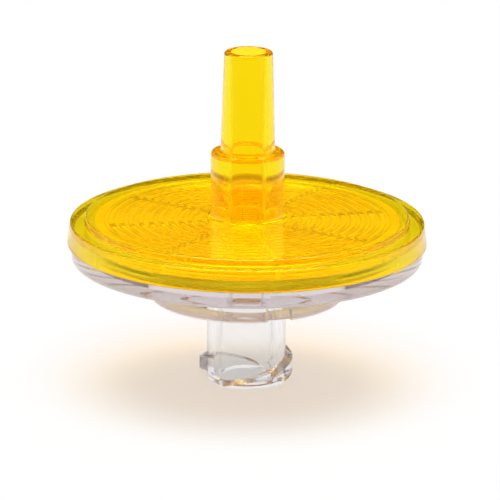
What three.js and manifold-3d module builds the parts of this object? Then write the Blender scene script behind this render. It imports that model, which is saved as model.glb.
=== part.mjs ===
// A disc filter for a syringe: a membrane clamped between two welded round shells.
// The inlet shell stands on its female luer hub, and the outlet shell carries a luer slip spigot.
// Millimetres, +Z up, origin at the middle of the hub's end face.
import * as THREE from 'three';
import { mergeVertices } from 'three/addons/utils/BufferGeometryUtils.js';
import Module from 'manifold-3d';

const wasm = await Module();
wasm.setup();

// ---- Driving dimensions ----

const facets = 48; // flats round every turned surface
const arcSteps = 2; // flats round each small edge
const luerTaper = 0.06; // change of diameter for each unit of length, on both luer fittings
const overshoot = 1; // how far a cutter reaches past the face it opens
const filletShare = 0.6; // most of a wall or step that a rounding may take
const mergeDistance = 1e-5; // vertices closer than this are one

// Membrane, the disc that everything round it is sized from
const membraneRadius = 12.5;
const membraneThickness = 0.2;
const clampWidth = 0.6; // rim of the membrane that both shells grip

// Weld joint between the shells
const seatMargin = 0.1; // the seat is this much wider than the membrane
const seatRise = 0.35; // seat above the parting face
const weldGap = 0.3; // flash trap between the seat and the outlet shell's wall
const wallThickness = 1.6; // outlet shell's wall, at its top

// Outlet shell
const rimHeight = 1.75;
const rimDraft = 0.25; // the wall is wider by this much at the parting face
const panInset = 1.25; // step from the rim's edge in to the raised middle
const panHeight = 0.5;
const collarRadius = 3.03;
const collarHeight = 5.43;
const spigotTipRadius = 1.98;
const spigotLength = 8.27;
const outletBoreTipRadius = 1.42;
const outletBoreBaseRadius = 1.22;
const tipRounding = 0.2;
const shoulderRounding = 0.45;
const footFillet = 0.3;
const rimRounding = 0.15;

// Grid under the outlet shell that holds the membrane up
const gridRibCount = 10;
const gridHubRadius = 3.3; // flat land round the outlet bore
const gridMargin = 0.15; // gap between the outer groove and the clamped rim
const gridDepth = 0.4;
const gridRibShare = 0.5; // rib's part of the rib spacing
const channelCount = 8;
const channelWidth = 0.5;
const channelTurn = THREE.MathUtils.degToRad(12); // first channel, from the front towards +X

// Inlet shell
const flangeThickness = 1.45;
const flangeInset = 0.2; // the flange is this much smaller than the wall above it
const flangeDraft = 0.2;
const flangeRounding = 0.3;
const bossRadius = 7.95;
const bossHeight = 3.2;
const bossRounding = 0.2;
const bossSlotWidth = 2.05;
const bossSlotDepth = 0.7;
const bossSlotTurn = THREE.MathUtils.degToRad(20.2);
const inletBoreRadius = 1.2;
const spreadDepth = 0.3; // depth of the space that spreads the liquid under the membrane
const spreadRibCount = 4;
const spreadRibWidth = 0.4;

// Luer lock hub
const hubRadius = 3.25;
const hubLength = 6.9; // end face to the boss
const socketMouthRadius = 2.15;
const socketDepth = 8;
const socketChamfer = 0.15;
const threadStarts = 2;
const threadLead = 5;
const threadDepth = 0.6;
const threadRootWidth = 1.8;
const threadCrestWidth = 1.1;
const threadTurn = THREE.MathUtils.degToRad(72); // where the first thread's lower flank leaves the end
const threadTop = 2.6; // height at which the threads have run out
const threadSink = 0.3; // how deep a thread's root is sunk into the hub
const threadRunout = THREE.MathUtils.degToRad(35);
const threadSteps = 24;

// ---- Worked out from those ----

const bossBottomZ = hubLength;
const flangeBottomZ = bossBottomZ + bossHeight;
const partingZ = flangeBottomZ + flangeThickness;
const seatZ = partingZ + seatRise;
const membraneTopZ = seatZ + membraneThickness;
const rimTopZ = partingZ + rimHeight;
const panTopZ = rimTopZ + panHeight;
const collarTopZ = panTopZ + collarHeight;
const tipZ = collarTopZ + spigotLength;

const clampRadius = membraneRadius - clampWidth;
const seatRadius = membraneRadius + seatMargin;
const wallInnerRadius = seatRadius + weldGap;
const rimTopRadius = wallInnerRadius + wallThickness;
const rimBottomRadius = rimTopRadius + rimDraft;
const panRadius = rimTopRadius - panInset;
const flangeTopRadius = rimBottomRadius - flangeInset;
const flangeBottomRadius = flangeTopRadius - flangeDraft;
const spigotBaseRadius = spigotTipRadius + (spigotLength * luerTaper) / 2;
const socketEndRadius = socketMouthRadius - (socketDepth * luerTaper) / 2;
const gridCeilingZ = membraneTopZ + gridDepth;
const gridOuterRadius = clampRadius - gridMargin;
const spreadFloorZ = seatZ - spreadDepth;

// ---- Helpers ----

const point = (radius, z) => new THREE.Vector2(radius, z);

// Points on a quarter turn from one tangent direction to the other, both given as angles in degrees.
function arc(centreRadius, centreZ, size, fromDegrees, toDegrees) {
  const points = [];
  for (let step = 0; step <= arcSteps; step += 1) {
    const angle = THREE.MathUtils.degToRad(
      THREE.MathUtils.lerp(fromDegrees, toDegrees, step / arcSteps),
    );
    points.push(point(centreRadius + size * Math.cos(angle), centreZ + size * Math.sin(angle)));
  }
  return points;
}

// A closed solid for joining and cutting, from any closed three.js geometry.
function toSolid(geometry) {
  const bare = geometry.clone();
  bare.deleteAttribute('normal');
  bare.deleteAttribute('uv');
  const merged = mergeVertices(bare, mergeDistance);
  return new wasm.Manifold(
    new wasm.Mesh({
      numProp: 3,
      vertProperties: new Float32Array(merged.attributes.position.array),
      triVerts: new Uint32Array(merged.index.array),
    }),
  );
}

function toGeometry(solid) {
  const mesh = solid.getMesh();
  const geometry = new THREE.BufferGeometry();
  geometry.setAttribute('position', new THREE.BufferAttribute(mesh.vertProperties, 3));
  geometry.setIndex(new THREE.BufferAttribute(mesh.triVerts, 1));
  geometry.computeVertexNormals();
  return geometry;
}

// Turns a closed outline of (radius, z) points about the Z axis.
function turned(outline) {
  const geometry = new THREE.LatheGeometry([...outline, outline[0]], facets);
  geometry.rotateX(Math.PI / 2);
  return toSolid(geometry);
}

// A box that lies along a radius, turned from the front (-Y) towards +X.
function radialBox(width, innerRadius, outerRadius, bottomZ, topZ, turn) {
  const geometry = new THREE.BoxGeometry(width, outerRadius - innerRadius, topZ - bottomZ);
  geometry.translate(0, -(innerRadius + outerRadius) / 2, (bottomZ + topZ) / 2);
  geometry.rotateZ(turn);
  return toSolid(geometry);
}

function cutChannels(solid, outerRadius, bottomZ, topZ) {
  let cut = solid;
  for (let index = 0; index < channelCount; index += 1) {
    const turn = channelTurn + (index * 2 * Math.PI) / channelCount;
    cut = cut.subtract(radialBox(channelWidth, 0, outerRadius, bottomZ, topZ, turn));
  }
  return cut;
}

// ---- Outlet shell: rim, raised pan, collar and slip spigot, with the grid underneath ----

function spigotOutline() {
  const rounding = Math.min(tipRounding, (spigotTipRadius - outletBoreTipRadius) * filletShare);
  const shoulder = Math.min(shoulderRounding, (collarRadius - spigotBaseRadius) * filletShare);
  return [
    point(panRadius - rimRounding, panTopZ),
    ...arc(collarRadius + footFillet, panTopZ + footFillet, footFillet, 270, 180),
    ...arc(collarRadius - shoulder, collarTopZ - shoulder, shoulder, 0, 90),
    point(spigotBaseRadius, collarTopZ),
    ...arc(spigotTipRadius - rounding, tipZ - rounding, rounding, 0, 90),
    point(outletBoreTipRadius, tipZ),
    point(outletBoreBaseRadius, membraneTopZ),
    point(gridHubRadius, membraneTopZ),
  ];
}

// Grooves between the ribs, from the land round the bore out to the clamped rim.
function gridOutline() {
  const spacing = (gridOuterRadius - gridHubRadius) / (gridRibCount + 1 - gridRibShare);
  const grooveWidth = spacing * (1 - gridRibShare);
  const outline = [];
  for (let index = 0; index <= gridRibCount; index += 1) {
    const grooveStart = gridHubRadius + index * spacing;
    if (index > 0) {
      outline.push(point(grooveStart, membraneTopZ));
    }
    outline.push(point(grooveStart, gridCeilingZ));
    outline.push(point(grooveStart + grooveWidth, gridCeilingZ));
    outline.push(point(grooveStart + grooveWidth, membraneTopZ));
  }
  return outline;
}

function rimOutline() {
  return [
    point(wallInnerRadius, membraneTopZ),
    point(wallInnerRadius, partingZ),
    point(rimBottomRadius, partingZ),
    ...arc(rimTopRadius - rimRounding, rimTopZ - rimRounding, rimRounding, 0, 90),
    point(panRadius, rimTopZ),
    point(panRadius, panTopZ - rimRounding),
  ];
}

function outletShell() {
  const body = turned([...spigotOutline(), ...gridOutline(), ...rimOutline()]);
  return cutChannels(body, gridOuterRadius, membraneTopZ - overshoot, gridCeilingZ);
}

// ---- Inlet shell: flange, boss and threaded luer hub ----

// The hub starts below its end face, and is trimmed there once the threads are on.
function hubOutline() {
  return [
    point(socketMouthRadius + socketChamfer, -overshoot),
    point(hubRadius, -overshoot),
    point(hubRadius, bossBottomZ),
    ...arc(bossRadius - bossRounding, bossBottomZ + bossRounding, bossRounding, 270, 360),
    point(bossRadius, flangeBottomZ),
    ...arc(
      flangeBottomRadius - flangeRounding,
      flangeBottomZ + flangeRounding,
      flangeRounding,
      270,
      360,
    ),
    point(flangeTopRadius, partingZ),
    point(seatRadius, partingZ),
    point(seatRadius, seatZ),
    point(clampRadius, seatZ),
    point(clampRadius, spreadFloorZ),
  ];
}

// Low rings that keep the membrane off the floor of the spreading space.
function spreadOutline() {
  const spacing = (clampRadius - inletBoreRadius) / (spreadRibCount + 1);
  const outline = [];
  for (let index = spreadRibCount; index > 0; index -= 1) {
    const middle = inletBoreRadius + index * spacing;
    outline.push(point(middle + spreadRibWidth / 2, spreadFloorZ));
    outline.push(point(middle + spreadRibWidth / 2, seatZ));
    outline.push(point(middle - spreadRibWidth / 2, seatZ));
    outline.push(point(middle - spreadRibWidth / 2, spreadFloorZ));
  }
  return outline;
}

function socketOutline() {
  return [
    point(inletBoreRadius, spreadFloorZ),
    point(inletBoreRadius, socketDepth),
    point(socketEndRadius, socketDepth),
    point(socketMouthRadius - (socketChamfer * luerTaper) / 2, socketChamfer),
    point(socketMouthRadius + socketChamfer, 0),
  ];
}

// One thread: a trapezium carried up a right-handed helix, thinning to nothing at its top end.
function thread(startTurn) {
  const rise = threadLead / (2 * Math.PI);
  const bottomTurn = -(threadRootWidth + threadSink) / rise;
  const topTurn = (threadTop - threadRootWidth) / rise;
  const rootFlare = (threadSink * (threadRootWidth - threadCrestWidth)) / (2 * threadDepth);
  const positions = [];
  for (let step = 0; step <= threadSteps; step += 1) {
    const turn = THREE.MathUtils.lerp(bottomTurn, topTurn, step / threadSteps);
    const fade = THREE.MathUtils.clamp((topTurn - turn) / threadRunout, 0, 1);
    const crestRadius = hubRadius + threadDepth * fade;
    const crestHalf = THREE.MathUtils.lerp(threadRootWidth, threadCrestWidth, fade) / 2;
    const rootHalf = threadRootWidth / 2 + rootFlare * fade;
    const middleZ = threadRootWidth / 2 + turn * rise;
    const corners = [
      point(hubRadius - threadSink, middleZ - rootHalf),
      point(crestRadius, middleZ - crestHalf),
      point(crestRadius, middleZ + crestHalf),
      point(hubRadius - threadSink, middleZ + rootHalf),
    ];
    for (const corner of corners) {
      const angle = startTurn + turn - Math.PI / 2;
      positions.push(corner.x * Math.cos(angle), corner.x * Math.sin(angle), corner.y);
    }
  }
  return toSolid(sweptGeometry(positions, threadSteps));
}

// Joins the rings of corners along a sweep into a closed skin, with a flat cap on each end.
function sweptGeometry(positions, steps) {
  const corners = positions.length / (3 * (steps + 1));
  const indices = [];
  for (let step = 0; step < steps; step += 1) {
    for (let corner = 0; corner < corners; corner += 1) {
      const next = (corner + 1) % corners;
      const low = step * corners;
      const high = low + corners;
      indices.push(low + corner, high + corner, high + next);
      indices.push(low + corner, high + next, low + next);
    }
  }
  const last = steps * corners;
  for (let corner = 1; corner < corners - 1; corner += 1) {
    indices.push(0, corner, corner + 1);
    indices.push(last, last + corner + 1, last + corner);
  }
  const geometry = new THREE.BufferGeometry();
  geometry.setAttribute('position', new THREE.Float32BufferAttribute(positions, 3));
  geometry.setIndex(indices);
  return geometry;
}

// Adds the threads and trims them flush with the hub's end face.
function addThreads(hub) {
  const belowEnd = new THREE.CylinderGeometry(2 * hubRadius, 2 * hubRadius, threadLead, facets);
  belowEnd.rotateX(Math.PI / 2);
  belowEnd.translate(0, 0, -threadLead / 2);
  let joined = hub;
  for (let index = 0; index < threadStarts; index += 1) {
    joined = joined.add(thread(threadTurn + (index * 2 * Math.PI) / threadStarts));
  }
  return joined.subtract(toSolid(belowEnd));
}

function inletShell() {
  const body = turned([...hubOutline(), ...spreadOutline(), ...socketOutline()]);
  const slot = radialBox(
    bossSlotWidth,
    bossRadius - bossSlotDepth,
    bossRadius + overshoot,
    bossBottomZ - overshoot,
    flangeBottomZ,
    bossSlotTurn,
  );
  const ribbed = cutChannels(body.subtract(slot), clampRadius, spreadFloorZ, seatZ + overshoot);
  return addThreads(ribbed);
}

// ---- Membrane ----

function membrane() {
  const geometry = new THREE.CylinderGeometry(
    membraneRadius,
    membraneRadius,
    membraneThickness,
    facets,
  );
  geometry.rotateX(Math.PI / 2);
  geometry.translate(0, 0, seatZ + membraneThickness / 2);
  return toSolid(geometry);
}

// ---- Materials and assembly ----

const amberPlastic = new THREE.MeshStandardMaterial({
  color: '#f5c400',
  roughness: 0.15,
  metalness: 0,
  transparent: true,
  opacity: 0.75,
});
const clearPlastic = new THREE.MeshStandardMaterial({
  color: '#e6e2e6',
  roughness: 0.12,
  metalness: 0,
  transparent: true,
  opacity: 0.45,
});
const whiteMembrane = new THREE.MeshStandardMaterial({
  color: '#f6f5f2',
  roughness: 0.9,
  metalness: 0,
});

function piece(name, solid, material) {
  const mesh = new THREE.Mesh(toGeometry(solid), material);
  mesh.name = name;
  return mesh;
}

const syringeFilter = new THREE.Group();
syringeFilter.name = 'syringe_filter';
syringeFilter.add(piece('outlet_shell', outletShell(), amberPlastic));
syringeFilter.add(piece('inlet_shell', inletShell(), clearPlastic));
syringeFilter.add(piece('filter_membrane', membrane(), whiteMembrane));

export default syringeFilter;
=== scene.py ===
import math

import bpy
from mathutils import Matrix, Vector


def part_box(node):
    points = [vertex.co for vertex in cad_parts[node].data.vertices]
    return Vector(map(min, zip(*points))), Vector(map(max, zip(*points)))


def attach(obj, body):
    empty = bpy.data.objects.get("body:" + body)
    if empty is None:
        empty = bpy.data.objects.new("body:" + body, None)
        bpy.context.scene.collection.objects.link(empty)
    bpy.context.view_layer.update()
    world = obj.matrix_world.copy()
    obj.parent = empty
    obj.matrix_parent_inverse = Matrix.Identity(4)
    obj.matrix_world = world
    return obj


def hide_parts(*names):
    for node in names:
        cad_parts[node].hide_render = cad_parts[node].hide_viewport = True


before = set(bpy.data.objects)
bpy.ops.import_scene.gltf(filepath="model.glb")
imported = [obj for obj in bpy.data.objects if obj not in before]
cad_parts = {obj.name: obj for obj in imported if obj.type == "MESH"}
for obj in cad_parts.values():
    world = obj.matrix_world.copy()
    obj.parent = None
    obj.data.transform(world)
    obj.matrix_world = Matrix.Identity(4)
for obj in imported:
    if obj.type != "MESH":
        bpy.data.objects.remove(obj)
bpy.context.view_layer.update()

mm = 0.001


def linear(hexColour):
    # sRGB hex to the linear numbers that shaders take
    channels = [int(hexColour[i:i + 2], 16) / 255 for i in (1, 3, 5)]
    return [c / 12.92 if c <= 0.04045 else ((c + 0.055) / 1.055) ** 2.4 for c in channels] + [1.0]


def addNode(tree, kind, inputs=None, **settings):
    # inputs are values, sockets or nodes, by the name or number of the new node's own input
    node = tree.nodes.new(kind)
    for name, value in settings.items():
        setattr(node, name, value)
    for key, value in (inputs or {}).items():
        if isinstance(value, bpy.types.Node):
            value = value.outputs[0]
        if isinstance(value, bpy.types.NodeSocket):
            tree.links.new(value, node.inputs[key])
        else:
            node.inputs[key].default_value = value
    return node


def roundedOutline(corners, steps=6, holding=0.03, mostOfSide=0.45):
    # corners are (radius, z, rounding) in mm, in order round a closed section
    # holding sets a point just outside each rounding, so that flats stay flat under smooth shading
    # a rounding takes up no more than mostOfSide of the sides that meet in it
    outline = []
    for i, (radius, z, rounding) in enumerate(corners):
        here = Vector((radius, z))
        if rounding == 0:
            outline.append(here)
            continue
        before = Vector(corners[i - 1][:2]) - here
        after = Vector(corners[(i + 1) % len(corners)][:2]) - here
        halfTurn = before.angle(after) / 2
        shorterSide = min(before.length, after.length)
        reach = min(rounding / math.tan(halfTurn), mostOfSide * shorterSide)
        size = reach * math.tan(halfTurn)
        toBefore, toAfter = before.normalized(), after.normalized()
        centre = here + (toBefore + toAfter).normalized() * size / math.sin(halfTurn)
        start = here + toBefore * reach - centre
        sweep = start.angle_signed(here + toAfter * reach - centre)
        if reach + holding < before.length / 2:
            outline.append(here + toBefore * (reach + holding))
        for step in range(steps + 1):
            outline.append(centre + start @ Matrix.Rotation(sweep * step / steps, 2))
        if reach + holding < after.length / 2:
            outline.append(here + toAfter * (reach + holding))
    return outline


# places in mm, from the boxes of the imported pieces
outletLow, outletHigh = (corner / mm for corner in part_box("outlet_shell"))
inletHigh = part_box("inlet_shell")[1] / mm
membraneLow, membraneHigh = (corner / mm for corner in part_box("filter_membrane"))
partingZ = outletLow.z
tipZ = outletHigh.z
seatZ, membraneTopZ = membraneLow.z, membraneHigh.z

# what the shells share, in mm and radians
fit = dict(
    facets=192,
    luerTaper=0.06,
    airGap=0.012,  # how far a face is drawn back from the piece it touches, so that no two coincide
    insideReach=0.6,  # how far from the membrane's middle plane a shell's face counts as an inside one
    clampRadius=membraneHigh.x - 0.6,
    seatRadius=membraneHigh.x + 0.1,
    wallInnerRadius=membraneHigh.x + 0.4,
    channels=8,
    channelWidth=0.5,
    channelTurn=math.radians(12),
    cutterSize=2,  # size of a cutter where it only has to reach out of the plastic
    seamMerge=0.0001,  # points at the seam and the poles are joined when they are this close
)


def startTree(name, inputs):
    # inputs are the names for each kind of socket, with the geometry first
    tree = bpy.data.node_groups.new(name, "GeometryNodeTree")
    for kind, names in inputs.items():
        for socketName in names:
            tree.interface.new_socket(socketName, in_out="INPUT", socket_type="NodeSocket" + kind)
    tree.interface.new_socket("Shell", in_out="OUTPUT", socket_type="NodeSocketGeometry")
    return tree, addNode(tree, "NodeGroupInput").outputs


def copiesRound(tree, shape, count, firstTurn=0.0):
    # copies stand evenly round the Z axis
    index = addNode(tree, "GeometryNodeInputIndex")
    points = addNode(tree, "GeometryNodePoints", {"Count": count})
    share = addNode(tree, "ShaderNodeMath", {0: math.tau, 1: count}, operation="DIVIDE")
    turn = addNode(tree, "ShaderNodeMath", {0: index, 1: share, 2: firstTurn},
                   operation="MULTIPLY_ADD")
    rotation = addNode(tree, "ShaderNodeCombineXYZ", {"Z": turn})
    copies = addNode(tree, "GeometryNodeInstanceOnPoints",
                     {"Points": points, "Instance": shape, "Rotation": rotation})
    return addNode(tree, "GeometryNodeRealizeInstances", {0: copies})


def finishTree(tree, shell, material):
    real = addNode(tree, "GeometryNodeRealizeInstances", {0: shell})
    surfaced = addNode(tree, "GeometryNodeSetMaterial", {"Geometry": real, "Material": material})
    addNode(tree, "NodeGroupOutput", {0: surfaced})
    return tree


def makeTurnedTree():
    # turns a closed section about Z, then cuts straight channels along its radii
    tree, given = startTree("turned shell", {
        "Geometry": ("Section",),
        "Int": ("Facets", "Channels"),
        "Vector": ("Channel size", "Channel middle"),
        "Float": ("Channel turn",),
        "Material": ("Material",),
    })
    index = addNode(tree, "GeometryNodeInputIndex")

    # a grid with a row for each facet and a column for each point of the section, and one more of each
    # that meets the first
    size = addNode(tree, "GeometryNodeAttributeDomainSize", {0: given["Section"]}, component="MESH")
    columns = addNode(tree, "ShaderNodeMath", {0: size, 1: 1.0}, operation="ADD")
    rows = addNode(tree, "ShaderNodeMath", {0: given["Facets"], 1: 1.0}, operation="ADD")
    grid = addNode(tree, "GeometryNodeMeshGrid", {"Vertices X": columns, "Vertices Y": rows})
    place = addNode(tree, "ShaderNodeMath", {0: index, 1: rows}, operation="DIVIDE")
    column = addNode(tree, "ShaderNodeMath", {0: place}, operation="FLOOR")
    corner = addNode(tree, "ShaderNodeMath", {0: column, 1: size}, operation="MODULO")
    row = addNode(tree, "ShaderNodeMath", {0: index, 1: rows}, operation="MODULO")
    step = addNode(tree, "ShaderNodeMath", {0: math.tau, 1: given["Facets"]}, operation="DIVIDE")
    angle = addNode(tree, "ShaderNodeMath", {0: row, 1: step}, operation="MULTIPLY")
    sample = addNode(tree, "GeometryNodeSampleIndex", data_type="FLOAT_VECTOR", domain="POINT")
    tree.links.new(given["Section"], sample.inputs["Geometry"])
    tree.links.new(addNode(tree, "GeometryNodeInputPosition").outputs[0], sample.inputs["Value"])
    tree.links.new(corner.outputs[0], sample.inputs["Index"])
    turned = addNode(tree, "ShaderNodeVectorRotate", {"Vector": sample, "Angle": angle},
                     rotation_type="Z_AXIS")
    moved = addNode(tree, "GeometryNodeSetPosition", {"Geometry": grid, "Position": turned})
    closed = addNode(tree, "GeometryNodeMergeByDistance",
                     {"Geometry": moved, "Distance": fit["seamMerge"] * mm})
    outward = addNode(tree, "GeometryNodeFlipFaces", {0: closed})

    # one box copied round the axis cuts the channels
    box = addNode(tree, "GeometryNodeMeshCube", {"Size": given["Channel size"]})
    cutter = addNode(tree, "GeometryNodeTransform",
                     {"Geometry": box, "Translation": given["Channel middle"]})
    cutters = copiesRound(tree, cutter, given["Channels"], given["Channel turn"])
    cut = addNode(tree, "GeometryNodeMeshBoolean", {"Mesh 1": outward, "Mesh 2": cutters},
                  operation="DIFFERENCE", solver="MANIFOLD")
    return finishTree(tree, cut, given["Material"])


def makeThreadTree():
    # winds ridges up a right-handed helix and joins them to the hub, then cuts the boss's slot and
    # trims everything level with the hub's end
    tree, given = startTree("luer threads", {
        "Geometry": ("Hub",),
        "Int": ("Starts", "Steps"),
        "Float": ("Foot radius", "Hub radius", "Depth", "Root width", "Foot growth", "Crest growth",
                  "Rise", "Low turn", "High turn", "First turn", "Run-out", "Slot turn"),
        "Vector": ("Slot size", "Slot middle", "Waste size", "Waste middle"),
        "Material": ("Material",),
    })

    # a unit box becomes one ridge: X goes from foot to crest, Y across the ridge and Z along it
    box = addNode(tree, "GeometryNodeMeshCube", {"Size": (1.0, 1.0, 1.0), "Vertices Z": given["Steps"]})
    place = addNode(tree, "GeometryNodeInputPosition")
    unit = addNode(tree, "ShaderNodeSeparateXYZ", {0: place}).outputs
    outward = addNode(tree, "ShaderNodeMath", {0: unit["X"], 1: 0.5}, operation="ADD")
    along = addNode(tree, "ShaderNodeMath", {0: unit["Z"], 1: 0.5}, operation="ADD")
    sweep = addNode(tree, "ShaderNodeMath", {0: given["High turn"], 1: given["Low turn"]},
                    operation="SUBTRACT")
    turn = addNode(tree, "ShaderNodeMath", {0: along, 1: sweep, 2: given["Low turn"]},
                   operation="MULTIPLY_ADD")
    left = addNode(tree, "ShaderNodeMath", {0: given["High turn"], 1: turn}, operation="SUBTRACT")
    fade = addNode(tree, "ShaderNodeMapRange", {"Value": left, "From Max": given["Run-out"]})
    crest = addNode(tree, "ShaderNodeMath", {0: given["Depth"], 1: fade, 2: given["Hub radius"]},
                    operation="MULTIPLY_ADD")
    radius = addNode(tree, "ShaderNodeMapRange", {"Value": outward, "To Min": given["Foot radius"],
                                                  "To Max": crest})
    growth = addNode(tree, "ShaderNodeMapRange", {"Value": outward, "To Min": given["Foot growth"],
                                                  "To Max": given["Crest growth"]})
    width = addNode(tree, "ShaderNodeMath", {0: growth, 1: fade, 2: given["Root width"]},
                    operation="MULTIPLY_ADD")
    halfRoot = addNode(tree, "ShaderNodeMath", {0: given["Root width"], 1: 0.5}, operation="MULTIPLY")
    middle = addNode(tree, "ShaderNodeMath", {0: turn, 1: given["Rise"], 2: halfRoot},
                     operation="MULTIPLY_ADD")
    height = addNode(tree, "ShaderNodeMath", {0: unit["Y"], 1: width, 2: middle},
                     operation="MULTIPLY_ADD")
    angle = addNode(tree, "ShaderNodeMath", {0: turn, 1: given["First turn"]}, operation="ADD")
    straight = addNode(tree, "ShaderNodeCombineXYZ", {"X": radius, "Z": height})
    wound = addNode(tree, "ShaderNodeVectorRotate", {"Vector": straight, "Angle": angle},
                    rotation_type="Z_AXIS")
    bent = addNode(tree, "GeometryNodeSetPosition", {"Geometry": box, "Position": wound})
    ridge = addNode(tree, "GeometryNodeFlipFaces", {0: bent})

    ridges = copiesRound(tree, ridge, given["Starts"])
    joined = addNode(tree, "GeometryNodeMeshBoolean", operation="UNION", solver="MANIFOLD")
    tree.links.new(given["Hub"], joined.inputs["Mesh 2"])
    tree.links.new(ridges.outputs[0], joined.inputs["Mesh 2"])

    wasteBox = addNode(tree, "GeometryNodeMeshCube", {"Size": given["Waste size"]})
    waste = addNode(tree, "GeometryNodeTransform",
                    {"Geometry": wasteBox, "Translation": given["Waste middle"]})
    slotBox = addNode(tree, "GeometryNodeMeshCube", {"Size": given["Slot size"]})
    slotInFront = addNode(tree, "GeometryNodeTransform",
                          {"Geometry": slotBox, "Translation": given["Slot middle"]})
    slotRotation = addNode(tree, "ShaderNodeCombineXYZ", {"Z": given["Slot turn"]})
    slot = addNode(tree, "GeometryNodeTransform", {"Geometry": slotInFront, "Rotation": slotRotation})
    trimmed = addNode(tree, "GeometryNodeMeshBoolean", {"Mesh 1": joined}, operation="DIFFERENCE",
                      solver="MANIFOLD")
    tree.links.new(waste.outputs[0], trimmed.inputs["Mesh 2"])
    tree.links.new(slot.outputs[0], trimmed.inputs["Mesh 2"])
    return finishTree(tree, trimmed, given["Material"])


def runTree(obj, tree, values):
    # each input is set by its socket's identifier, and the result is kept as a plain mesh
    modifier = obj.modifiers.new(tree.name, "NODES")
    modifier.node_group = tree
    for item in tree.interface.items_tree:
        if item.in_out == "INPUT" and item.name in values:
            modifier[item.identifier] = values[item.name]
    evaluated = obj.evaluated_get(bpy.context.evaluated_depsgraph_get())
    mesh = bpy.data.meshes.new_from_object(evaluated)
    obj.modifiers.remove(modifier)
    obj.data = mesh


def sectionObject(name, outline):
    # the section as a chain of points in the XZ plane, in metres
    mesh = bpy.data.meshes.new(name)
    mesh.from_pydata([(point.x * mm, 0, point.y * mm) for point in outline], [], [])
    obj = bpy.data.objects.new(name, mesh)
    bpy.context.collection.objects.link(obj)
    return obj


def shadePiece(obj, sharpAngle=math.radians(28)):
    obj.data.name = obj.name
    obj.data.shade_smooth()
    obj.data.set_sharp_from_angle(angle=sharpAngle)
    print(obj.name, "has", len(obj.data.polygons), "faces")


def startMaterial(name):
    material = bpy.data.materials.new(name)
    material.use_nodes = True
    material.node_tree.nodes.clear()
    return material, material.node_tree


# acrylic copolymer for medical mouldings, injection moulded in polished tools, which gives the sharp
# reflections of a polished skin, with lengths in mm
moulding = dict(
    ior=1.49,
    transmission=0.975,  # the rest scatters, which leaves the plastic a very little cloudy
    roughness=(0.02, 0.05), insideRoughness=0.2,
    waveLength=5, waveDetail=1.0, waveStrength=0.002, waveDepth=1,
    hazeSize=5 / 6, hazeDetail=3.0, hazeSpread=(0.3, 0.7),
)

# with nothing added it is water clear
clearCopolymer = dict(
    name="clear acrylic copolymer, moulded",
    tint="#FFFFFF",  # what each surface lets through, squared
    lampTint="#FFFFFF",  # the same for lamp light on its way to the floor and the membrane
    specularTint="#FFFFFF",
    taken=(15, 19, 16),  # share of red, green and blue light lost in a metre, as powers of e
)

# with an amber dye most of the yellow is set at the surfaces, so that thin and thick walls are nearly the
# same colour, and the dye inside only deepens long ways through
amberCopolymer = dict(
    name="amber acrylic copolymer, moulded",
    tint="#FFEE38",
    lampTint="#FFE4C8",
    specularTint="#FFD85A",
    taken=(3, 22, 450),
)


def makePlastic(finish):
    material, tree = startMaterial(finish["name"])
    place = addNode(tree, "ShaderNodeTexCoord").outputs["Object"]
    # the melt's flow leaves shallow waves, and the tool's polish a haze of fine patches
    flow = addNode(tree, "ShaderNodeTexNoise", {
        "Vector": place, "Scale": 1 / (moulding["waveLength"] * mm), "Detail": moulding["waveDetail"]})
    haze = addNode(tree, "ShaderNodeTexNoise", {
        "Vector": place, "Scale": 1 / (moulding["hazeSize"] * mm), "Detail": moulding["hazeDetail"]})
    polished = addNode(tree, "ShaderNodeMapRange", {
        "Value": haze, "From Min": moulding["hazeSpread"][0], "From Max": moulding["hazeSpread"][1],
        "To Min": moulding["roughness"][0], "To Max": moulding["roughness"][1]})
    # faces toward the membrane come from spark-eroded steel, which leaves them slightly matt
    level = addNode(tree, "ShaderNodeVectorMath", {0: place, 1: (1, 1, 0)}, operation="MULTIPLY")
    radius = addNode(tree, "ShaderNodeVectorMath", {0: level}, operation="LENGTH").outputs["Value"]
    within = addNode(tree, "ShaderNodeMath",
                     {0: radius, 1: (fit["wallInnerRadius"] + fit["airGap"]) * mm},
                     operation="LESS_THAN")
    height = addNode(tree, "ShaderNodeSeparateXYZ", {0: place}).outputs["Z"]
    near = addNode(tree, "ShaderNodeMath", {0: height, 1: (seatZ + membraneTopZ) / 2 * mm,
                                            2: fit["insideReach"] * mm}, operation="COMPARE")
    inside = addNode(tree, "ShaderNodeMath", {0: within, 1: near}, operation="MULTIPLY")
    roughness = addNode(tree, "ShaderNodeMix", {0: inside, 2: polished, 3: moulding["insideRoughness"]},
                        data_type="FLOAT")
    waves = addNode(tree, "ShaderNodeBump", {
        "Height": flow, "Strength": moulding["waveStrength"], "Distance": moulding["waveDepth"] * mm})
    body = addNode(tree, "ShaderNodeBsdfPrincipled", {
        "Base Color": linear(finish["tint"]), "Specular Tint": linear(finish["specularTint"]),
        "Roughness": roughness, "Normal": waves, "IOR": moulding["ior"],
        "Transmission Weight": moulding["transmission"]})
    # lamp light goes straight through and takes the lamp tint at each surface
    lampTint = [math.sqrt(share) for share in linear(finish["lampTint"])]
    lampLight = addNode(tree, "ShaderNodeBsdfTransparent", {"Color": lampTint})
    path = addNode(tree, "ShaderNodeLightPath").outputs
    surface = addNode(tree, "ShaderNodeMixShader", {0: path["Is Shadow Ray"], 1: body, 2: lampLight})
    density = max(finish["taken"])
    colour = [1 - share / density for share in finish["taken"]] + [1]
    dye = addNode(tree, "ShaderNodeVolumeAbsorption", {"Color": colour, "Density": density})
    addNode(tree, "ShaderNodeOutputMaterial", {"Surface": surface, "Volume": dye})
    return material


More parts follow.
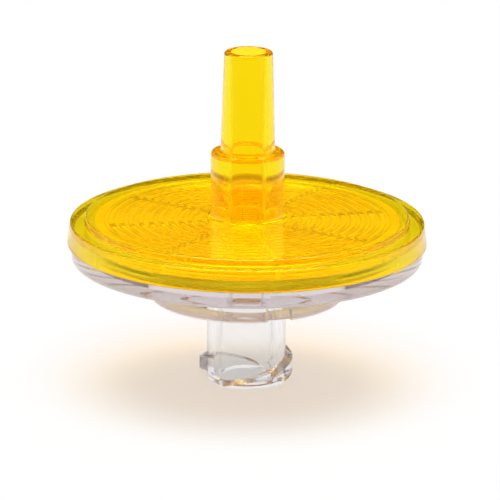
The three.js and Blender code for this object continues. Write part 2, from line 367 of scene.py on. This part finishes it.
# microporous film, cast and dried: dead matt and a warm white, with a faint mottle where pores scatter
# light, and thin enough to glow a little on the side away from the light, with lengths in mm
membraneFilm = dict(
    name="microporous membrane film, cast",
    thin="#F7E2C8", thick="#FDEDDA",
    glow=0.3,  # share of its light that comes out on the other side
    poreSize=0.4, poreDetail=3.0,  # real pores are under a micron, and are drawn this coarse to show
    roughness=0.9, specularLevel=0.2,
    grainStrength=0.2, grainDepth=0.05,
)


def makeMembraneFilm():
    material, tree = startMaterial(membraneFilm["name"])
    place = addNode(tree, "ShaderNodeTexCoord").outputs["Object"]
    pores = addNode(tree, "ShaderNodeTexNoise", {
        "Vector": place, "Scale": 1 / (membraneFilm["poreSize"] * mm),
        "Detail": membraneFilm["poreDetail"]})
    tone = addNode(tree, "ShaderNodeValToRGB", {"Fac": pores})
    tone.color_ramp.elements[0].color = linear(membraneFilm["thin"])
    tone.color_ramp.elements[1].color = linear(membraneFilm["thick"])
    grain = addNode(tree, "ShaderNodeBump", {
        "Height": pores, "Strength": membraneFilm["grainStrength"],
        "Distance": membraneFilm["grainDepth"] * mm})
    body = addNode(tree, "ShaderNodeBsdfPrincipled", {
        "Base Color": tone, "Roughness": membraneFilm["roughness"], "Normal": grain,
        "Specular IOR Level": membraneFilm["specularLevel"]})
    through = addNode(tree, "ShaderNodeBsdfTranslucent", {"Color": tone})
    surface = addNode(tree, "ShaderNodeMixShader", {0: membraneFilm["glow"], 1: body, 2: through})
    addNode(tree, "ShaderNodeOutputMaterial", {"Surface": surface})
    return material


turnedTree = makeTurnedTree()
threadTree = makeThreadTree()

outlet = dict(
    rimHeight=1.75, rimDraft=0.25, rimRounding=0.15,
    panInset=1.25, panHeight=0.5, panRounding=0.18, panFoot=0.12,
    collarRadius=3.03, collarHeight=5.43, shoulderRounding=0.7, footFillet=0.3,
    tipRadius=1.98, spigotLength=8.27, tipRounding=0.22, spigotFillet=0.25,
    boreTipRadius=1.42, boreBaseRadius=1.22, boreTipRounding=0.08, boreBaseRounding=0.1,
    landRadius=3.3, gridMargin=0.15, gridDepth=0.4, ribs=10, ribShare=0.5,
    partingRounding=0.04, arcSteps=4,
)


def outletCorners():
    size = outlet
    low = membraneTopZ + fit["airGap"]
    rimTop = partingZ + size["rimHeight"]
    panTop = rimTop + size["panHeight"]
    collarTop = panTop + size["collarHeight"]
    rimRadius = outletHigh.x - size["rimDraft"]
    panRadius = rimRadius - size["panInset"]
    spigotBase = size["tipRadius"] + size["spigotLength"] * fit["luerTaper"] / 2
    gridOuter = fit["clampRadius"] - size["gridMargin"]
    ceiling = membraneTopZ + size["gridDepth"]
    spacing = (gridOuter - size["landRadius"]) / (size["ribs"] + 1 - size["ribShare"])
    corners = [
        (panRadius, panTop, size["panRounding"]),
        (size["collarRadius"], panTop, size["footFillet"]),
        (size["collarRadius"], collarTop, size["shoulderRounding"]),
        (spigotBase, collarTop, size["spigotFillet"]),
        (size["tipRadius"], tipZ, size["tipRounding"]),
        (size["boreTipRadius"], tipZ, size["boreTipRounding"]),
        (size["boreBaseRadius"], low, size["boreBaseRounding"]),
    ]
    for i in range(size["ribs"] + 1):
        start = size["landRadius"] + i * spacing
        end = start + spacing * (1 - size["ribShare"])
        corners += [(start, low, 0), (start, ceiling, 0), (end, ceiling, 0), (end, low, 0)]
    corners += [
        (fit["wallInnerRadius"], low, 0),
        (fit["wallInnerRadius"], partingZ + fit["airGap"], 0),
        (outletHigh.x, partingZ + fit["airGap"], size["partingRounding"]),
        (rimRadius, rimTop, size["rimRounding"]),
        (panRadius, rimTop, size["panFoot"]),
    ]
    return corners


def makeOutletShell():
    piece = sectionObject("amber_outlet_shell", roundedOutline(outletCorners(), outlet["arcSteps"]))
    length = fit["clampRadius"] - outlet["gridMargin"]
    ceiling = membraneTopZ + outlet["gridDepth"]
    runTree(piece, turnedTree, {
        "Facets": fit["facets"],
        "Channels": fit["channels"],
        "Channel size": (fit["channelWidth"] * mm, length * mm, fit["cutterSize"] * mm),
        "Channel middle": (0, -length / 2 * mm, (ceiling - fit["cutterSize"] / 2) * mm),
        "Channel turn": fit["channelTurn"],
        "Material": makePlastic(amberCopolymer),
    })
    shadePiece(piece)
    return piece


inlet = dict(
    flangeThickness=1.45, flangeDraft=0.2, flangeRounding=0.3,
    bossRadius=7.95, bossHeight=3.2, bossRounding=0.2, bossFillet=0.15,
    slotWidth=2.05, slotDepth=0.7, slotTurn=math.radians(20.2),
    boreRadius=1.2, boreRounding=0.1, spreadDepth=0.3, spreadRibs=4, spreadRibWidth=0.4,
    hubRadius=3.25, mouthRadius=2.15, socketDepth=8.0, socketRounding=0.1, mouthChamfer=0.15,
    partingRounding=0.05,
    hubWaste=1, wasteWidth=20,  # what is trimmed off level with the hub's end, and its cutter's width
    starts=2, lead=5.0, threadDepth=0.6, rootWidth=1.8, crestWidth=1.1, threadSink=0.3,
    threadTurn=math.radians(-18), threadTop=2.6, runOut=math.radians(35), threadSteps=97,
)


def inletCorners():
    size = inlet
    seat = seatZ - fit["airGap"]
    parting = partingZ - fit["airGap"]
    flangeBottom = partingZ - size["flangeThickness"]
    bossBottom = flangeBottom - size["bossHeight"]
    spreadFloor = seatZ - size["spreadDepth"]
    socketEnd = size["mouthRadius"] - size["socketDepth"] * fit["luerTaper"] / 2
    spacing = (fit["clampRadius"] - size["boreRadius"]) / (size["spreadRibs"] + 1)
    corners = [
        (size["mouthRadius"] + size["mouthChamfer"], -size["hubWaste"], 0),
        (size["hubRadius"], -size["hubWaste"], 0),
        (size["hubRadius"], bossBottom, size["bossFillet"]),
        (size["bossRadius"], bossBottom, size["bossRounding"]),
        (size["bossRadius"], flangeBottom, size["bossFillet"]),
        (inletHigh.x - size["flangeDraft"], flangeBottom, size["flangeRounding"]),
        (inletHigh.x, parting, size["partingRounding"]),
        (fit["seatRadius"], parting, 0),
        (fit["seatRadius"], seat, 0),
        (fit["clampRadius"], seat, 0),
        (fit["clampRadius"], spreadFloor, 0),
    ]
    for i in range(size["spreadRibs"], 0, -1):
        middle = size["boreRadius"] + i * spacing
        half = size["spreadRibWidth"] / 2
        corners += [(middle + half, spreadFloor, 0), (middle + half, seat, 0),
                    (middle - half, seat, 0), (middle - half, spreadFloor, 0)]
    corners += [
        (size["boreRadius"], spreadFloor, size["boreRounding"]),
        (size["boreRadius"], size["socketDepth"], 0),
        (socketEnd, size["socketDepth"], size["socketRounding"]),
        (size["mouthRadius"], size["mouthChamfer"], 0),
        (size["mouthRadius"] + size["mouthChamfer"], 0, 0),
    ]
    return corners


def makeInletShell():
    size = inlet
    clearPlastic = makePlastic(clearCopolymer)
    piece = sectionObject("clear_inlet_shell", roundedOutline(inletCorners()))
    spreadFloor = seatZ - size["spreadDepth"]
    runTree(piece, turnedTree, {
        "Facets": fit["facets"],
        "Channels": fit["channels"],
        "Channel size": (fit["channelWidth"] * mm, fit["clampRadius"] * mm, fit["cutterSize"] * mm),
        "Channel middle": (0, -fit["clampRadius"] / 2 * mm, (spreadFloor + fit["cutterSize"] / 2) * mm),
        "Channel turn": fit["channelTurn"],
        "Material": clearPlastic,
    })
    rise = size["lead"] / math.tau
    taper = size["rootWidth"] - size["crestWidth"]
    flangeBottom = partingZ - size["flangeThickness"]
    slotHeight = size["bossHeight"] + fit["cutterSize"] / 2
    slotMiddle = size["bossRadius"] - size["slotDepth"] + fit["cutterSize"] / 2
    runTree(piece, threadTree, {
        "Starts": size["starts"],
        "Steps": size["threadSteps"],
        "Foot radius": (size["hubRadius"] - size["threadSink"]) * mm,
        "Hub radius": size["hubRadius"] * mm,
        "Depth": size["threadDepth"] * mm,
        "Root width": size["rootWidth"] * mm,
        "Foot growth": taper * size["threadSink"] / size["threadDepth"] * mm,
        "Crest growth": -taper * mm,
        "Rise": rise * mm,
        "Low turn": -(size["rootWidth"] + size["threadSink"]) / rise,
        "High turn": (size["threadTop"] - size["rootWidth"]) / rise,
        "First turn": size["threadTurn"],
        "Run-out": size["runOut"],
        "Slot size": (size["slotWidth"] * mm, fit["cutterSize"] * mm, slotHeight * mm),
        "Slot middle": (0, -slotMiddle * mm, (flangeBottom - slotHeight / 2) * mm),
        "Slot turn": size["slotTurn"],
        "Waste size": (size["wasteWidth"] * mm, size["wasteWidth"] * mm, size["lead"] * mm),
        "Waste middle": (0, 0, -size["lead"] / 2 * mm),
        "Material": clearPlastic,
    })
    shadePiece(piece)
    return piece


membrane = dict(edgeRounding=0.03)


def makeMembraneDisc():
    top = membraneTopZ - fit["airGap"]
    bottom = seatZ + fit["airGap"]
    edge = membrane["edgeRounding"]
    corners = [(0, bottom, 0), (membraneHigh.x, bottom, edge), (membraneHigh.x, top, edge), (0, top, 0)]
    piece = sectionObject("membrane_disc", roundedOutline(corners))
    runTree(piece, turnedTree, {
        "Facets": fit["facets"],
        "Channels": 0,
        "Material": makeMembraneFilm(),
    })
    shadePiece(piece)
    return piece


camera = dict(
    elevation=math.radians(16.53), roll=math.radians(0.5), distance=320 * mm,
    aim=(0.25 * mm, 0, 10.74 * mm), lens=280.7, sensorWidth=36, clip=(0.01, 10),
)


def makeCamera():
    data = bpy.data.cameras.new("camera")
    data.lens = camera["lens"]
    data.sensor_width = camera["sensorWidth"]
    data.clip_start, data.clip_end = camera["clip"]
    obj = bpy.data.objects.new("camera", data)
    bpy.context.collection.objects.link(obj)
    back = Vector((0, -math.cos(camera["elevation"]), math.sin(camera["elevation"])))
    turn = (-back).to_track_quat("-Z", "Y").to_matrix() @ Matrix.Rotation(camera["roll"], 3, "Z")
    place = Vector(camera["aim"]) + back * camera["distance"]
    obj.matrix_world = Matrix.Translation(place) @ turn.to_4x4()
    bpy.context.scene.camera = obj


studio = dict(
    floorSize=3.0, floorColour="#FFFDFA",
    floorDrop=0.02 * mm,  # air under the hub, which lets its end face reflect
    # near the object the floor's glow is cream, a painted warm shadow under it, which whitens between
    # farStart and farEnd
    paintedShadowGlow="#FBEEE2", farGlow="#FFFFFF", farStart=8 * mm, farEnd=20 * mm,
    cameraShare=0.7, farShare=0.97,  # how much of what the camera sees of the floor is glow, near and far
    clearShare=0.7,  # the same for the floor through clear plastic
    clearFrontShade=0.75, clearStart=5 * mm, clearEnd=14 * mm,  # its level in front and under the object, a painted shade, and where it whitens
    tentLow=0.15, tentHigh=0.5,  # light given from the horizon and from overhead
    backdrop=(0, 0.94, 0.34),
    backdropSeen=0.95, roomSeen=0.85, backdropEdge=(-0.3, 0.9),  # how clear plastic shows back and front
    sidesSeen=1.0, sidesEdge=(0.5, 0.9),  # how polished faces show the panels to the left and right
    keyPlace=(0, 0.24, 0.56), keySize=(0.35, 0.25), keyPower=2.8, keyColour="#FFFFFF",
    bounces=24,  # light takes many turns inside clear mouldings
)


def makeFloor():
    half = studio["floorSize"] / 2
    mesh = bpy.data.meshes.new("floor")
    corners = [(-half, -half, 0), (half, -half, 0), (half, half, 0), (-half, half, 0)]
    mesh.from_pydata(corners, [], [(0, 1, 2, 3)])
    obj = bpy.data.objects.new("floor", mesh)
    obj.location.z = -studio["floorDrop"]
    bpy.context.collection.objects.link(obj)
    material, tree = startMaterial("white paper")
    place = addNode(tree, "ShaderNodeTexCoord").outputs["Object"]
    distance = addNode(tree, "ShaderNodeVectorMath", {0: place}, operation="LENGTH").outputs["Value"]
    far = addNode(tree, "ShaderNodeMapRange", {
        "Value": distance, "From Min": studio["farStart"],
        "From Max": studio["farEnd"]}, interpolation_type="SMOOTHSTEP")
    paper = addNode(tree, "ShaderNodeBsdfDiffuse", {"Color": linear(studio["floorColour"])})
    # painted shadow: the glow is cream near the object and plain white further off
    colour = addNode(tree, "ShaderNodeMix", {0: far, "A": linear(studio["paintedShadowGlow"]),
                                             "B": linear(studio["farGlow"])}, data_type="RGBA")
    glow = addNode(tree, "ShaderNodeEmission", {"Color": colour.outputs["Result"], "Strength": 1.0})
    share = addNode(tree, "ShaderNodeMapRange", {"Value": far, "To Min": studio["cameraShare"],
                                                 "To Max": studio["farShare"]})
    # through clear plastic the floor's glow is white behind the object and a little greyer in front, a
    # painted shade
    behind = addNode(tree, "ShaderNodeSeparateXYZ", {0: place}).outputs["Y"]
    clearStrength = addNode(tree, "ShaderNodeMapRange", {
        "Value": behind, "From Min": studio["clearStart"], "From Max": studio["clearEnd"],
        "To Min": studio["clearFrontShade"], "To Max": 1.0}, interpolation_type="SMOOTHSTEP")
    clearGlow = addNode(tree, "ShaderNodeEmission", {"Strength": clearStrength})
    path = addNode(tree, "ShaderNodeLightPath").outputs
    clear = addNode(tree, "ShaderNodeMath", {0: path["Is Glossy Ray"], 1: path["Is Transmission Ray"]},
                    operation="MAXIMUM")
    clearShare = addNode(tree, "ShaderNodeMath", {0: clear, 1: studio["clearShare"]},
                         operation="MULTIPLY")
    unseen = addNode(tree, "ShaderNodeMixShader", {0: clearShare, 1: paper, 2: clearGlow})
    cameraShare = addNode(tree, "ShaderNodeMath", {0: share, 1: path["Is Camera Ray"]},
                          operation="MULTIPLY")
    surface = addNode(tree, "ShaderNodeMixShader", {0: cameraShare, 1: unseen, 2: glow})
    addNode(tree, "ShaderNodeOutputMaterial", {"Surface": surface})
    mesh.materials.append(material)


def makeTent():
    # a white backdrop behind and a slightly greyer room in front, which clear plastic shows, and white
    # panels at the sides, which polished faces show: the camera itself sees plain white
    world = bpy.data.worlds.new("studio tent")
    bpy.context.scene.world = world
    world.use_nodes = True
    tree = world.node_tree
    tree.nodes.clear()
    path = addNode(tree, "ShaderNodeLightPath").outputs
    place = addNode(tree, "ShaderNodeTexCoord").outputs["Generated"]
    along = addNode(tree, "ShaderNodeSeparateXYZ", {0: place}).outputs
    given = addNode(tree, "ShaderNodeMapRange", {"Value": along["Z"], "To Min": studio["tentLow"],
                                                 "To Max": studio["tentHigh"]})
    toBackdrop = addNode(tree, "ShaderNodeVectorMath", {0: place, 1: studio["backdrop"]},
                         operation="DOT_PRODUCT").outputs["Value"]
    backdrop = addNode(tree, "ShaderNodeMapRange", {
        "Value": toBackdrop,
        "From Min": studio["backdropEdge"][0], "From Max": studio["backdropEdge"][1],
        "To Min": studio["roomSeen"], "To Max": studio["backdropSeen"]},
        interpolation_type="SMOOTHSTEP")
    sideways = addNode(tree, "ShaderNodeMath", {0: along["X"]}, operation="ABSOLUTE")
    sides = addNode(tree, "ShaderNodeMapRange", {
        "Value": sideways, "From Min": studio["sidesEdge"][0],
        "From Max": studio["sidesEdge"][1], "To Max": studio["sidesSeen"]})
    # rays that have met the membrane or the floor carry the tent's light, not its look
    unscattered = addNode(tree, "ShaderNodeMath", {0: path["Diffuse Depth"], 1: 0.5},
                          operation="LESS_THAN")
    mirrored = addNode(tree, "ShaderNodeMath", {0: path["Is Glossy Ray"], 1: unscattered},
                       operation="MULTIPLY")
    through = addNode(tree, "ShaderNodeMath", {0: path["Is Transmission Ray"], 1: unscattered},
                      operation="MULTIPLY")
    glossy = addNode(tree, "ShaderNodeMix", {0: mirrored, 2: given, 3: sides}, data_type="FLOAT")
    clear = addNode(tree, "ShaderNodeMix", {0: through, 2: glossy, 3: backdrop}, data_type="FLOAT")
    strength = addNode(tree, "ShaderNodeMix", {0: path["Is Camera Ray"], 2: clear, 3: 1.0},
                       data_type="FLOAT")
    tent = addNode(tree, "ShaderNodeBackground", {"Color": (1, 1, 1, 1), "Strength": strength})
    addNode(tree, "ShaderNodeOutputWorld", {"Surface": tent})


def makeKeyLamp():
    data = bpy.data.lights.new("key softbox", "AREA")
    data.shape = "RECTANGLE"
    data.size, data.size_y = studio["keySize"]
    data.energy = studio["keyPower"]
    data.color = linear(studio["keyColour"])[:3]
    obj = bpy.data.objects.new("key softbox", data)
    bpy.context.collection.objects.link(obj)
    place = Vector(studio["keyPlace"])
    toward = Vector((0, 0, partingZ * mm)) - place
    obj.matrix_world = Matrix.Translation(place) @ toward.to_track_quat("-Z", "Y").to_matrix().to_4x4()


scene = bpy.context.scene
scene.view_settings.view_transform = "Standard"
for kind in ("max", "diffuse", "glossy", "transmission", "transparent_max"):
    setattr(scene.cycles, kind + "_bounces", studio["bounces"])
makeCamera()
makeFloor()
makeTent()
makeKeyLamp()
print("studio is ready")

for piece, node, slot in (
    (makeOutletShell(), "outlet_shell", "amber_plastic"),
    (makeInletShell(), "inlet_shell", "clear_plastic"),
    (makeMembraneDisc(), "filter_membrane", "membrane"),
):
    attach(piece, "root")
    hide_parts(node)
print("pieces are ready")
